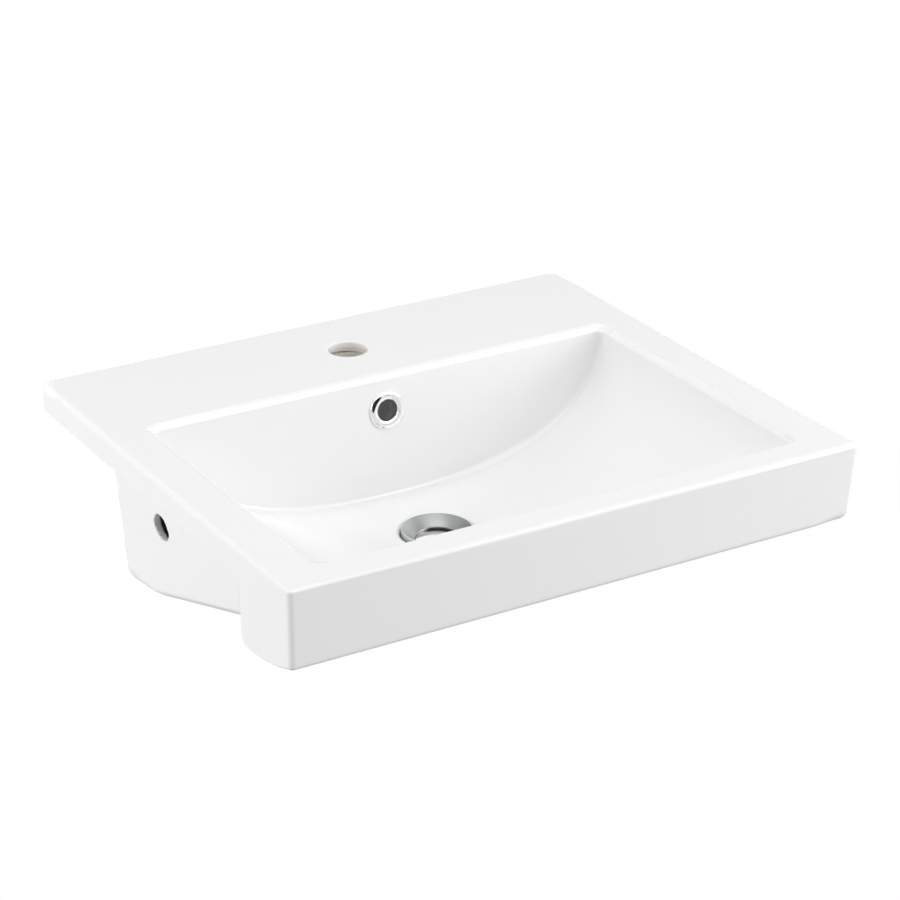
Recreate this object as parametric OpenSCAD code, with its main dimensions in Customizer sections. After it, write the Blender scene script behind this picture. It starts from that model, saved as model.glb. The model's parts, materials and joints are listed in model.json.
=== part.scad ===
// Semi-recessed washbasin: one hollow-cast ceramic basin with its overflow trim
// and a push-open waste. Millimetres. The origin is the centre of the flat back
// face of the rim, which stands against the wall: +Y into the wall, -Y to the
// user, +Z up. Depths are measured down from the deck, the flat top of the rim.

/* [Rim] */
// Width of the rim, side to side
rim_w = 532; // [500:1:600]
// Depth of the rim, wall to front
rim_d = 470; // [450:1:520]
// Thickness of the rim
rim_t = 26; // [25:1:32]
// Radius along the top outer edge
edge_r = 5; // [3:0.5:6]
// Plan radius of the back corners
back_corner_r = 12; // [10:1:20]
// Plan radius of the front corners
front_corner_r = 7; // [6.5:0.5:12]
// How far the sides lean in at the foot of the apron
side_draft = 3; // [0:0.5:5]
// How far the front leans in at the foot of the apron
front_draft = 6; // [0:0.5:9]

/* [Apron] */
// How far the front part hangs out past the edge of the bench
apron_d = 88; // [70:1:100]
// Depth of the apron's back foot below the deck
apron_back_h = 84; // [80:1:92]
// Depth of the apron's front foot below the deck
apron_front_h = 73; // [66:1:78]
// Radius of the apron's back foot
foot_r = 9; // [7:1:14]
// Radius of the hollow corner between the rim and the apron
hollow_r = 7; // [5:1:12]

/* [Body under the rim] */
// Wall of the casting
wall = 9; // [7:0.5:10]
// Radius of the body's edges
body_r = 10.5; // [10:0.5:14]
// Width of the body just under the rim
body_w = 490; // [474:1:496]
// How far the body's side leans in at its foot
body_draft = 6; // [0:0.5:10]
// Distance from the wall to the back of the body
body_back = 101; // [98:1:106]
// How far the body's back leans forward at its foot
back_draft = 7; // [4:1:10]
// Depth of the body's foot along the side, at the back
side_foot_h = 145; // [138:1:150]
// Distance from the wall to where the side foot starts to rise
foot_bend = 168; // [160:1:176]
// Slope of the body's side foot, up to the front, in degrees
foot_slope = 18; // [14:1:22]
// Width of the flat underside in the middle
under_w = 230; // [180:1:260]
// Width of the underside at its front
nose_w = 300; // [270:1:330]
// Depth of the flat underside
under_h = 153; // [150:1:156]

/* [Bowl] */
// Width of the bowl at the rim
bowl_w = 452; // [430:1:458]
// Distance from the wall to the back edge of the bowl
bowl_back = 142; // [138:1:146]
// Width of the rim in front of the bowl
front_rim = 31; // [26:1:40]
// Drop of the bowl's wall below the deck, before the trough starts
rim_step = 4.5; // [4:0.5:7]
// Radius of the bowl's edge at the deck
lip_r = 3.5; // [2:0.5:3.5]
// Plan radius of the bowl's back corners
bowl_back_r = 7; // [5:1:12]
// Plan radius of the bowl's front corners
bowl_front_r = 22; // [12:1:30]
// Depth of the trough where it meets the back wall
back_depth = 112; // [106:1:114]
// Depth of the trough at the waste
bowl_depth = 117; // [115:0.5:119]
// Lean of the back wall, sideways per unit of depth
back_lean = 0.11; // [0.06:0.01:0.13]
// Power of the curve across the trough
trough_power = 2.5; // [2.2:0.1:2.8]
// Half width of the flatter floor where it meets the back wall
floor_half_w = 157; // [130:1:175]
// Rise of the trough to the front, per unit of length
front_rise = 0.02; // [0.01:0.005:0.03]

/* [Tap, overflow and vents] */
// Diameter of the tap hole
tap_d = 35; // [33:0.5:37]
// Distance from the wall to the tap hole
tap_back = 75.5; // [70:0.5:84]
// Width of ceramic around the tap hole
tap_boss = 12; // [10:1:16]
// Diameter of the overflow hole
overflow_d = 26; // [25:0.5:28]
// Depth of the overflow below the deck
overflow_h = 33; // [30:1:40]
// Inner width of the overflow duct
duct_w = 52; // [44:1:60]
// Thickness of the webs beside the duct
web_t = 8; // [6:0.5:10]
// Diameter of the vent in each side of the body
vent_d = 26; // [22:1:30]
// Distance from the wall to the vents
vent_back = 197; // [185:1:215]
// Depth of the vents below the deck
vent_h = 67; // [60:1:75]

/* [Waste hole] */
// Distance from the wall to the waste
waste_back = 232; // [226:1:238]
// Diameter of the waste hole
hole_d = 46; // [45:0.5:48]
// Diameter of the recess for the flange
recess_d = 70; // [68.5:0.5:74]
// Depth of the recess floor below the deck
recess_h = 124.5; // [124:0.5:126]
// Width of ceramic around the waste hole
hole_boss = 18; // [15:1:22]
// How far the boss round the waste hole stands below the underside
boss_drop = 11.5; // [10:0.5:14]
// Width of the overflow port into the waste hole
port_w = 30; // [24:1:34]
// Height of the overflow port
port_h = 12; // [9:1:14]

/* [Waste] */
// Diameter of the waste's flange
flange_d = 67; // [64:0.5:68]
// Thickness of the flange at its edge
flange_t = 7; // [6.5:0.5:8]
// Drop of the dish from the flange's edge to its throat
dish_drop = 4.5; // [4:0.1:5]
// Diameter over the waste's thread
thread_d = 41.9; // [41:0.1:42.5]
// Wall of the waste's tube
tube_wall = 2.3; // [1.8:0.1:2.8]
// Length of the thread below the backnut
tail_l = 14.5; // [12:0.5:30]
// Height of the overflow slots in the tube
slot_h = 14; // [10:1:16]
// Width of the overflow slots in the tube
slot_w = 20; // [14:1:24]
// Depth of the bridge below the throat
bridge_drop = 37; // [36.5:0.5:40]
// Height of the bridge
bridge_t = 6; // [5:0.5:8]
// Width of the bridge's arms
arm_w = 4; // [3:0.5:5]

/* [Plug] */
// Diameter of the plug's cap
cap_d = 37.6; // [36:0.1:38]
// Thickness of the cap at its edge
cap_t = 3; // [2.5:0.5:3.5]
// Rise of the cap's crown
cap_crown = 1.1; // [0.5:0.1:1.5]
// Depth of the cap's edge below the throat, with the plug shut
cap_drop = 2.4; // [1.5:0.1:3]
// Travel of the plug
plug_travel = 9; // [7:0.5:10]
// Outer diameter of the latch's sleeve
sleeve_d = 15; // [14:0.5:17]
// Bore of the latch's sleeve
sleeve_bore = 12; // [11:0.5:13]
// Height of the latch's plunger
plunger_h = 3; // [2.5:0.5:3.5]
// Wire of the latch's spring
wire_d = 0.9; // [0.7:0.1:1]
// Turns of the latch's spring
spring_turns = 5; // [4:1:5]

/* [Seals and nut] */
// Thickness of the gasket under the flange
gasket_t = 2; // [1.5:0.5:2.5]
// Height of the conical washer
cone_h = 7; // [5:0.5:9]
// Thickness of the slip washer
slip_t = 1.5; // [1:0.5:2]
// Width across flats of the backnut
nut_af = 52; // [50:1:56]
// Height of the backnut
nut_h = 9; // [7:0.5:10]
// Diameter of the overflow trim
trim_d = 35; // [32:0.5:38]
// Height of the trim's dome
trim_h = 3; // [2:0.5:4]
// Diameter of the hole in the trim
trim_hole_d = 21.4; // [20:0.2:22]

/* [Fits] */
// Running clearance on the radius
run_gap = 0.08; // [0.05:0.01:0.1]
// Seating clearance on the radius
seat_gap = 0.3; // [0.2:0.05:0.4]

/* [Hidden] */
$fn = 96;

deck = rim_t / 2;
// Fine steps that keep cuts clear of the faces that they pass
eps = 0.01;
over = 5;
hull_fn = 32;

// Apron and rim, seen from the side
apron_back = rim_d - apron_d;
foot_front_r = 4;

// Body
body_front_gap = 60;
side_foot_front = rim_d - body_front_gap;
function foot_h(y) = side_foot_h - max(0, y - foot_bend) * tan(foot_slope);
under_back = body_back + back_draft + 22;
under_front = 300;
under_nose_y = 398;
under_nose_h = 100;

// Bowl
// Height above the deck that the bowl's cuts reach
cut_h = 60;
bowl_front = rim_d - front_rim;
trough_half_w = bowl_w / 2 - 2;
valley_l = waste_back - bowl_back - back_lean * back_depth;
back_fall = (bowl_depth - back_depth) / valley_l;
// How much deeper the trough would be at the back wall, carried on under the floor
trough_extra = (front_rise + back_fall) * valley_l;
trough_steps = 56;
front_steps = 18;

// Duct and waste hole
duct_back = body_back + wall;
roof_h = rim_t - wall + eps;
// How far the body's hollow runs up into the rim's
hollow_overlap = 1;
boss_r = hole_d / 2 + hole_boss;
boss_foot = under_h + boss_drop;
hole_l = boss_foot - recess_h;
recess_bevel = 4;
port_top = under_h - wall - port_h;
port_h_mid = under_h - wall - port_h / 2;

// Waste
flange_under = recess_h - gasket_t;
flange_top = flange_under - flange_t;
throat_h = flange_top + dish_drop;
tube_r = thread_d / 2;
tube_in = tube_r - tube_wall;
throat_r = cap_d / 2 + 0.7;
throat_l = 5.5;
flange_edge = 2.2;
seat_r = flange_d / 2 - 5;
tube_foot = boss_foot + cone_h + slip_t + nut_h + tail_l;
bridge_top = throat_h + bridge_drop;
stud_d = 8;
cap_edge = throat_h + cap_drop;
cap_under = cap_edge + cap_t;
seal_t = 2;
seal_r = tube_in - seat_gap;
sleeve_floor = 2.5;
plunger_r = sleeve_bore / 2 - run_gap;
spring_low = bridge_top - sleeve_floor;
spring_len = spring_turns * wire_d * 1.25 + wire_d;
spring_gap = 0.1;
rotor_h = 5;
rotor_low = spring_low - spring_len;
plunger_low = rotor_low - rotor_h;
plunger_top = plunger_low - plunger_h;
sleeve_top = plunger_top - plug_travel - seat_gap;
neck_r = 3.6;
collar_t = 1.2;
pivot_r = 2.2;
socket_h = 1.5;

// Overflow trim: its axis is square to the back wall
wall_tilt = atan(back_lean);
overflow_y = bowl_back + back_lean * overflow_h;
trim_tube_r = overflow_d / 2 - 1.3;
clip_t = 0.7;
seal_ring_t = 1;

// Points of an arc, from angle a to angle b
function arc(cx, cy, r, a, b, n) =
    [for (i = [0:n]) [cx + r * cos(a + (b - a) * i / n), cy + r * sin(a + (b - a) * i / n)]];

// A point of a cubic curve through p and s, with its handles at q and r
function curve(p, q, r, s, t) =
    p * pow(1 - t, 3) + q * 3 * t * pow(1 - t, 2) + r * 3 * t * t * (1 - t) + s * pow(t, 3);

// Half-width sweep of the trough: close steps at its steep sides
function trough_x(i) = -cos(180 * i / trough_steps);

// Depth across the trough at the back wall
function side_curve(u) = sqrt(max(0, 1 - pow(min(1, abs(u)), trough_power)));
function trough_depth(u, extra) =
    let (x = abs(u) * trough_half_w)
    rim_step + (back_depth - rim_step) * side_curve(u) + extra * max(0, 1 - x / floor_half_w);

// Rounded rectangle between two distances from the wall
module plan(w, back, front, r_back, r_front) {
    union() {
        translate([-w / 2, -front + r_front]) square([w, front - back - r_front - r_back]);
        translate([-w / 2 + r_back, -back - r_back - eps]) square([w - 2 * r_back, r_back + eps]);
        translate([-w / 2 + r_front, -front]) square([w - 2 * r_front, r_front + eps]);
        for (side = [-1, 1]) {
            translate([side * (w / 2 - r_back), -back - r_back]) circle(r_back);
            translate([side * (w / 2 - r_front), -front + r_front]) circle(r_front);
        }
    }
}

// Stands a side view, drawn as distance from the wall and depth, across the width w
module across(w) {
    rotate([90, 0, -90]) translate([0, 0, -w / 2]) linear_extrude(w) children();
}

// Corner of the rim with plan radius r and a rounded top edge
module round_corner(r) {
    rotate_extrude($fn = 2 * hull_fn) intersection() {
        translate([r - edge_r, 0]) circle(edge_r, $fn = hull_fn);
        translate([0, -edge_r]) square([r, 2 * edge_r]);
    }
}

// Outer form of the rim and apron before the underside is cut away
module rim_form() {
    foot = apron_back_h + over;
    side_in = side_draft * foot / apron_back_h;
    front_in = front_draft * foot / apron_back_h;
    hull() {
        for (side = [-1, 1]) {
            translate([side * (rim_w / 2 - back_corner_r), -back_corner_r, -edge_r])
                round_corner(back_corner_r);
            translate([side * (rim_w / 2 - front_corner_r), -rim_d + front_corner_r, -edge_r])
                round_corner(front_corner_r);
            translate([side * (rim_w / 2 - back_corner_r - side_in), -back_corner_r, -foot])
                cylinder(r = back_corner_r, h = 1, $fn = 2 * hull_fn);
            translate([side * (rim_w / 2 - front_corner_r - side_in),
                -rim_d + front_corner_r + front_in, -foot])
                cylinder(r = front_corner_r, h = 1, $fn = 2 * hull_fn);
        }
    }
}

// Side view of the rim and apron, t inside their skin
module rim_side(t) {
    r_foot = max(foot_r, t + 1);
    foot = [apron_back + r_foot, -apron_back_h + t];
    nose = [rim_d - front_draft - foot_front_r - 3, -apron_front_h + t];
    nose_c = [rim_d - front_draft - foot_front_r, -apron_front_h + foot_front_r + 1];
    front_y = rim_d + (t > 0 ? -t : over);
    back_y = t > 0 ? t : -over;
    top = t > 0 ? -t : over;
    polygon(concat(
        [[back_y, top], [back_y, -rim_t + t]],
        arc(apron_back - hollow_r, -rim_t - hollow_r, hollow_r + t, 90, 0, 8),
        arc(apron_back + r_foot, -apron_back_h + r_foot, r_foot - t, 180, 270, 8),
        [for (i = [1:6]) curve(foot, foot + [20, 0], nose - [18, 4.5], nose, i / 7)],
        [nose],
        arc(nose_c[0], nose_c[1], foot_front_r - t / 2, -60, 0, 4),
        [[front_y - (t > 0 ? front_draft / 2 : 0), -apron_front_h / 2], [front_y, top]]));
}

// Hollow inside the rim and apron
module rim_hollow() {
    w = rim_w - 2 * wall - 2 * side_draft;
    intersection() {
        across(rim_w) rim_side(wall);
        translate([0, 0, -rim_d / 2]) linear_extrude(rim_d)
            plan(w, wall, rim_d - wall - front_draft, back_corner_r - 6, front_corner_r - 4);
    }
}

// The closed body under the rim, t inside its skin
module body_form(t) {
    r = body_r - t;
    side_x = body_w / 2 - body_r;
    hull() {
        for (side = [-1, 1]) {
            for (y = [body_back + body_r, side_foot_front])
                translate([side * side_x, -y, -rim_t + t]) sphere(r, $fn = hull_fn);
            for (y = [body_back + back_draft + body_r, foot_bend, side_foot_front])
                translate([side * (side_x - body_draft), -y, -foot_h(y) + body_r])
                    sphere(r, $fn = hull_fn);
            translate([side * under_w / 2, -under_back, -under_h + body_r]) sphere(r, $fn = hull_fn);
            translate([side * under_w / 2, -under_front, -under_h + body_r]) sphere(r, $fn = hull_fn);
            translate([side * nose_w / 2, -under_nose_y, -under_nose_h + body_r])
                sphere(r, $fn = hull_fn);
        }
    }
}

// Section across the bowl, grown by t, as one long bar that slopes by rise to the front
module bowl_bar(extra, rise, t) {
    start = bowl_back - 30;
    length = rim_d - start;
    drop = rise * (bowl_back + back_lean * back_depth - start);
    points = [for (i = [0:trough_steps])
        let (u = trough_x(i))
        [u * (trough_half_w + t), -trough_depth(u, extra) - t * side_curve(u)]];
    translate([0, -start, -drop])
        rotate([90 - atan(rise), 0, 0])
        linear_extrude(length * sqrt(1 + rise * rise) + over)
        polygon(concat(points, [[trough_half_w + t, cut_h], [-trough_half_w - t, cut_h]]));
}

// Side view of the bowl's hollow, grown by t
module bowl_side(t) {
    front = [bowl_front + t, -rim_step];
    floor_end = [bowl_front - 119, -bowl_depth + 1 - t];
    polygon(concat(
        [[bowl_back - t - back_lean * cut_h, cut_h]],
        [[bowl_back - t + back_lean * (bowl_depth + 30), -bowl_depth - 30]],
        [[floor_end[0] - 80, -bowl_depth - 30]],
        [for (i = [front_steps:-1:0])
            curve(front, front - [0, 60], floor_end + [64 + t, 0], floor_end, i / front_steps)],
        [[bowl_front + t, cut_h]]));
}

// The hollow of the bowl below the rim's step, grown by t
module trough(t) {
    intersection() {
        bowl_bar(trough_extra, front_rise, t);
        bowl_bar(0, -back_fall, t);
        across(rim_w) bowl_side(t);
        translate([0, 0, -bowl_depth - 40]) linear_extrude(bowl_depth + 40 - rim_step + eps)
            plan(bowl_w + 2 * t, bowl_back - t - 5, bowl_front + t, bowl_back_r + t, bowl_front_r + t);
    }
}

// The straight drop from the deck to the trough, grown by t
module rim_well(t) {
    translate([0, 0, -rim_step - t]) linear_extrude(rim_step + t + over)
        plan(bowl_w + 2 * t, bowl_back - t, bowl_front + t, bowl_back_r + t, bowl_front_r + t);
}

// Rounds the deck's edge round the bowl: what is cut away outside the well
module lip_side(l) {
    rotate([90, 0, 90]) linear_extrude(l) lip_section();
}

module lip_section() {
    difference() {
        translate([-eps, -lip_r]) square([lip_r + eps, lip_r + over]);
        translate([lip_r, -lip_r]) circle(lip_r);
    }
}

module lip_corner(r) {
    rotate_extrude(angle = 90) translate([r, 0]) lip_section();
}

module lip_cut() {
    x = bowl_w / 2;
    translate([-x + bowl_back_r, -bowl_back, 0]) lip_side(bowl_w - 2 * bowl_back_r);
    translate([x - bowl_front_r, -bowl_front, 0])
        rotate([0, 0, 180]) lip_side(bowl_w - 2 * bowl_front_r);
    length = bowl_front - bowl_back - bowl_back_r - bowl_front_r;
    translate([x, -bowl_back - bowl_back_r, 0]) rotate([0, 0, -90]) lip_side(length);
    translate([-x, -bowl_front + bowl_front_r, 0]) rotate([0, 0, 90]) lip_side(length);
    translate([x - bowl_back_r, -bowl_back - bowl_back_r, 0]) lip_corner(bowl_back_r);
    translate([-x + bowl_back_r, -bowl_back - bowl_back_r, 0])
        rotate([0, 0, 90]) lip_corner(bowl_back_r);
    translate([-x + bowl_front_r, -bowl_front + bowl_front_r, 0])
        rotate([0, 0, 180]) lip_corner(bowl_front_r);
    translate([x - bowl_front_r, -bowl_front + bowl_front_r, 0])
        rotate([0, 0, 270]) lip_corner(bowl_front_r);
}

// Webs on each side of the overflow duct, and the roof that closes it off
module duct_webs() {
    length = waste_back - body_back;
    for (side = [-1, 1]) {
        translate([side * (duct_w + web_t) / 2 - web_t / 2, -waste_back, -under_h])
            cube([web_t, length, under_h - wall]);
    }
    translate([-duct_w / 2 - web_t, -bowl_back - 3, -roof_h])
        cube([duct_w + 2 * web_t, bowl_back + 3 - body_back, roof_h - wall + eps]);
}

// Opens the foot of the duct into the back of the waste hole
module duct_port() {
    translate([-port_w / 2, -waste_back, -port_top - port_h])
        cube([port_w, boss_r + over, port_h]);
}

module vents() {
    for (side = [-1, 1]) {
        translate([side * (body_w / 2 + over), -vent_back, -vent_h])
            rotate([0, -side * 90, 0]) cylinder(d = vent_d, h = over + body_draft + wall + 12);
    }
}

// The fired ceramic casting: rim, apron, bowl and closed body with its hollows
module basin() {
    color("white") translate([0, 0, deck]) difference() {
        union() {
            intersection() {
                rim_form();
                across(rim_w + 2 * over) rim_side(0);
            }
            intersection() {
                body_form(0);
                translate([-rim_w / 2, -rim_d, -under_h - over])
                    cube([rim_w, rim_d, under_h + over - rim_t / 2]);
            }
            translate([0, -waste_back, -boss_foot]) cylinder(r = boss_r, h = hole_l);
        }
        trough(0);
        rim_well(0);
        lip_cut();
        difference() {
            union() {
                rim_hollow();
                intersection() {
                    body_form(wall);
                    translate([-rim_w / 2, -rim_d + wall, -under_h - over])
                        cube([rim_w, rim_d - wall, under_h + over - rim_t + wall + hollow_overlap]);
                }
            }
            trough(wall);
            rim_well(wall);
            duct_webs();
            translate([0, -tap_back, -rim_t]) cylinder(r = tap_d / 2 + tap_boss, h = rim_t);
            translate([0, -waste_back, -boss_foot]) cylinder(r = boss_r, h = hole_l + over);
        }
        translate([0, -tap_back, -rim_t - over]) cylinder(d = tap_d, h = rim_t + 2 * over);
        translate([0, -overflow_y, -overflow_h]) rotate([-90 - wall_tilt, 0, 0])
            translate([0, 0, -over]) cylinder(d = overflow_d, h = over + wall + 6);
        translate([0, -waste_back, -recess_h]) cylinder(d = recess_d, h = 30);
        translate([0, -waste_back, -bowl_depth - recess_bevel / 2])
            cylinder(r1 = recess_d / 2, r2 = recess_d / 2 + recess_bevel, h = recess_bevel);
        translate([0, -waste_back, -boss_foot - over]) cylinder(d = hole_d, h = hole_l + 2 * over);
        duct_port();
        vents();
    }
}

// Places a piece on the overflow's axis: +Z of the piece points into the bowl
module at_overflow() {
    translate([0, -overflow_y, deck - overflow_h]) rotate([90 - wall_tilt, 0, 0]) children();
}

// Chromed trim: a domed ring with a short tube that enters the overflow hole
module overflow_ring() {
    r_hole = trim_hole_d / 2;
    r_out = trim_d / 2;
    dome_r = (r_out - r_hole) / 2;
    color("silver") at_overflow() difference() {
        union() {
            intersection() {
                translate([0, 0, seal_ring_t]) rotate_extrude()
                    translate([r_hole + dome_r, 0]) circle(dome_r, $fn = 64);
                translate([0, 0, seal_ring_t]) cylinder(r = r_out + 1, h = trim_h);
            }
            translate([0, 0, -10]) cylinder(r = trim_tube_r, h = 10 + seal_ring_t + 1);
        }
        translate([0, 0, -over - 10]) cylinder(r = r_hole, h = 10 + 3 * over);
    }
}

// Spring fingers that hold the trim in the overflow hole
module overflow_clip() {
    finger_w = 7;
    color("whitesmoke") at_overflow() intersection() {
        rotate_extrude() polygon([[trim_tube_r, -9], [trim_tube_r + clip_t, -9],
            [overflow_d / 2, -7], [trim_tube_r + clip_t, -5], [trim_tube_r + clip_t, -0.5],
            [trim_tube_r, -0.5]]);
        union() {
            translate([0, 0, -3]) cylinder(r = overflow_d, h = 3);
            for (turn = [0, 90]) {
                rotate([0, 0, turn]) translate([-overflow_d, -finger_w / 2, -10])
                    cube([2 * overflow_d, finger_w, 10]);
            }
        }
    }
}

// Soft ring between the trim and the glaze
module overflow_seal() {
    color("dimgray") at_overflow() rotate_extrude()
        translate([overflow_d / 2 + 0.5, 0.05]) square([3, seal_ring_t - 0.1]);
}

// Places a piece on the waste's axis, with its depths measured from the deck
module at_waste() {
    translate([0, -waste_back, deck]) children();
}

// Chromed body of the waste: dished flange, slotted tube and the bridge for the latch
module waste_body() {
    flange_r = flange_d / 2;
    round_r = 1;
    color("silver") at_waste() {
        difference() {
            rotate([0, 0, 270]) rotate_extrude() {
                polygon(concat(
                    [[throat_r, -throat_h]],
                    arc(flange_r - round_r, -flange_top - round_r, round_r, 100, 0, 6),
                    [[flange_r, -flange_top - flange_edge], [seat_r, -flange_under],
                    [tube_r, -flange_under], [tube_r, -tube_foot], [tube_in, -tube_foot],
                    [tube_in, -throat_h - throat_l - 1.5], [throat_r, -throat_h - throat_l]]));
            }
            for (turn = [0, 90, 180]) {
                rotate([0, 0, turn]) translate([0, -slot_w / 2, -port_h_mid - slot_h / 2])
                    cube([tube_r + over, slot_w, slot_h]);
            }
        }
        translate([0, 0, -bridge_top - bridge_t]) difference() {
            union() {
                cylinder(d = sleeve_d + 1, h = bridge_t);
                for (turn = [45, 135]) {
                    rotate([0, 0, turn]) translate([-tube_in - 0.5, -arm_w / 2, 0.5])
                        cube([2 * tube_in + 1, arm_w, bridge_t - 1]);
                }
            }
            translate([0, 0, -over]) cylinder(d = stud_d + 2 * seat_gap, h = bridge_t + 2 * over);
        }
    }
}

// Soft gasket between the flange and the floor of the recess
module flange_gasket() {
    color("dimgray") at_waste() translate([0, 0, -recess_h]) difference() {
        cylinder(r = seat_r, h = gasket_t);
        translate([0, 0, -over]) cylinder(d = hole_d + 1, h = gasket_t + 2 * over);
    }
}

// Sleeve of the push latch, with the stud that holds it to the bridge
module latch_sleeve() {
    color("goldenrod") at_waste() {
        translate([0, 0, -bridge_top]) difference() {
            cylinder(d = sleeve_d, h = bridge_top - sleeve_top);
            translate([0, 0, sleeve_floor]) cylinder(d = sleeve_bore, h = bridge_top);
        }
        translate([0, 0, -bridge_top - bridge_t - 8]) cylinder(d = stud_d, h = bridge_t + 8 + 1);
    }
}

// Collar screwed over the sleeve's mouth: it keeps the plunger in
module sleeve_collar() {
    skirt = 4;
    color("goldenrod") at_waste() translate([0, 0, -sleeve_top - skirt]) difference() {
        cylinder(d = sleeve_d + 2, h = skirt + collar_t);
        translate([0, 0, -over]) cylinder(d = sleeve_d, h = skirt + over);
        cylinder(r = neck_r + run_gap, h = skirt + collar_t + over);
    }
}

// Hexagon nut under the bridge
module sleeve_nut() {
    color("goldenrod") at_waste() translate([0, 0, -bridge_top - bridge_t - 5]) difference() {
        cylinder(d = 15, h = 5, $fn = 6);
        translate([0, 0, -over]) cylinder(d = stud_d + 0.1, h = 5 + 2 * over);
    }
}

// Coil spring under the rotor: a round wire along a helix
function helix_point(a, r, h) = [r * cos(a), r * sin(a), h];
module latch_spring() {
    sides = 6;
    rings = spring_turns * 14;
    coil_r = sleeve_bore / 2 - wire_d - 0.3;
    wire_r = wire_d / 2;
    pitch = (spring_len - wire_d - spring_gap) / spring_turns;
    points = [for (i = [0:rings]) for (k = [0:sides - 1])
        let (a = 360 * spring_turns * i / rings, b = 360 * k / sides)
        helix_point(a, coil_r + wire_r * cos(b), pitch * a / 360 + wire_r + wire_r * sin(b))];
    faces = concat(
        [[for (k = [0:sides - 1]) k]],
        [for (i = [0:rings - 1]) for (k = [0:sides - 1])
            let (n = (k + 1) % sides)
            [i * sides + k, (i + 1) * sides + k, (i + 1) * sides + n]],
        [for (i = [0:rings - 1]) for (k = [0:sides - 1])
            let (n = (k + 1) % sides)
            [i * sides + k, (i + 1) * sides + n, i * sides + n]],
        [[for (k = [sides - 1:-1:0]) rings * sides + k]]);
    color("gray") at_waste() translate([0, 0, -spring_low]) polyhedron(points, faces);
}

// Turning cam of the push latch
module latch_rotor() {
    lug_w = 3;
    color("whitesmoke") at_waste() translate([0, 0, -rotor_low]) difference() {
        union() {
            cylinder(r = plunger_r - 0.7, h = rotor_h - 0.3);
            for (turn = [0, 60, 120]) {
                rotate([0, 0, turn]) intersection() {
                    translate([-plunger_r, -lug_w / 2, 0]) cube([2 * plunger_r, lug_w, rotor_h - 1.5]);
                    cylinder(r = plunger_r - 0.1, h = rotor_h);
                }
            }
        }
        translate([0, 0, -over]) cylinder(r = pivot_r + run_gap, h = rotor_h + 2 * over);
    }
}

// Plunger that runs in the sleeve, and the neck that carries the cap
module plug_stem() {
    color("goldenrod") at_waste() {
        translate([0, 0, -plunger_low]) cylinder(r = plunger_r, h = plunger_h);
        translate([0, 0, -plunger_low - rotor_h + 1]) cylinder(r = pivot_r, h = rotor_h);
        translate([0, 0, -plunger_low]) cylinder(r = neck_r, h = plunger_low - cap_under + socket_h);
    }
}

// Chromed cap: a low crown over a flat underside with a blind socket for the neck
module plug_cap() {
    r = cap_d / 2;
    round_r = 0.8;
    crown_r = (r * r + cap_crown * cap_crown) / (2 * cap_crown);
    half_angle = asin((r - round_r) / crown_r);
    color("silver") at_waste() difference() {
        rotate_extrude() polygon(concat(
            [[0, -cap_under]],
            [[r - 0.4, -cap_under], [r, -cap_under + 0.4]],
            arc(r - round_r, -cap_edge - round_r, round_r, 0, 80, 6),
            [for (i = [10:-1:0])
                [crown_r * sin(half_angle * i / 10),
                -cap_edge + cap_crown - crown_r * (1 - cos(half_angle * i / 10))]]));
        translate([0, 0, -cap_under - over]) cylinder(r = neck_r, h = over + socket_h);
    }
}

// Seal under the cap, which closes on the cone below the throat
module plug_seal() {
    color("dimgray") at_waste() translate([0, 0, -cap_under - seal_t]) difference() {
        cylinder(r = seal_r, h = seal_t);
        translate([0, 0, -over]) cylinder(r = neck_r, h = seal_t + 2 * over);
    }
}

// Conical rubber washer that closes the foot of the waste hole
module cone_washer() {
    lip = 3;
    color("dimgray") at_waste() translate([0, 0, -boss_foot]) rotate_extrude() polygon([
        [tube_r + 0.05, lip], [hole_d / 2 - 0.4, lip], [hole_d / 2 - 0.1, 0],
        [hole_d / 2 + 7, 0], [hole_d / 2 + 7, -cone_h + 3], [hole_d / 2 + 4, -cone_h],
        [tube_r + 0.05, -cone_h]]);
}

// Flat washer that lets the backnut turn on the rubber
module slip_washer() {
    color("white") at_waste() translate([0, 0, -boss_foot - cone_h - slip_t]) difference() {
        cylinder(d = nut_af + 4, h = slip_t);
        translate([0, 0, -over]) cylinder(r = tube_r + seat_gap, h = slip_t + 2 * over);
    }
}

// Hexagon backnut on the waste's thread, with chamfered corners
module backnut() {
    corner = nut_af / cos(30);
    color("goldenrod") at_waste()
        translate([0, 0, -boss_foot - cone_h - slip_t - nut_h]) difference() {
        intersection() {
            cylinder(d = corner, h = nut_h, $fn = 6);
            rotate_extrude() polygon([[0, 0], [nut_af / 2, 0], [corner / 2 + 0.1, 2.2],
                [corner / 2 + 0.1, nut_h - 2.2], [nut_af / 2, nut_h], [0, nut_h]]);
        }
        translate([0, 0, -over]) cylinder(r = tube_r + 0.05, h = nut_h + 2 * over);
    }
}

basin();
overflow_ring();
overflow_clip();
overflow_seal();
waste_body();
flange_gasket();
latch_sleeve();
sleeve_collar();
sleeve_nut();
latch_spring();
latch_rotor();
plug_stem();
plug_cap();
plug_seal();
cone_washer();
slip_washer();
backnut();
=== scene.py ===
"""Looks for a semi-recessed washbasin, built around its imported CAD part.

The ceramic is one skin, drawn as a rounded distance field close to the CAD's sizes. The overflow's trim and
seal and the waste's flange are turned again, the rest of the waste's body is the CAD's, drawn in under that
flange, and every other piece keeps the CAD's own mesh. Lengths are in millimetres, as (x, distance from the
wall, height over the deck), and place() turns them into the row frame. The camera, the lamps and the floor
stand in the row frame itself.
"""

import json
import math

import bmesh
import bpy
import numpy as np
from mathutils import Matrix, Vector


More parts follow.
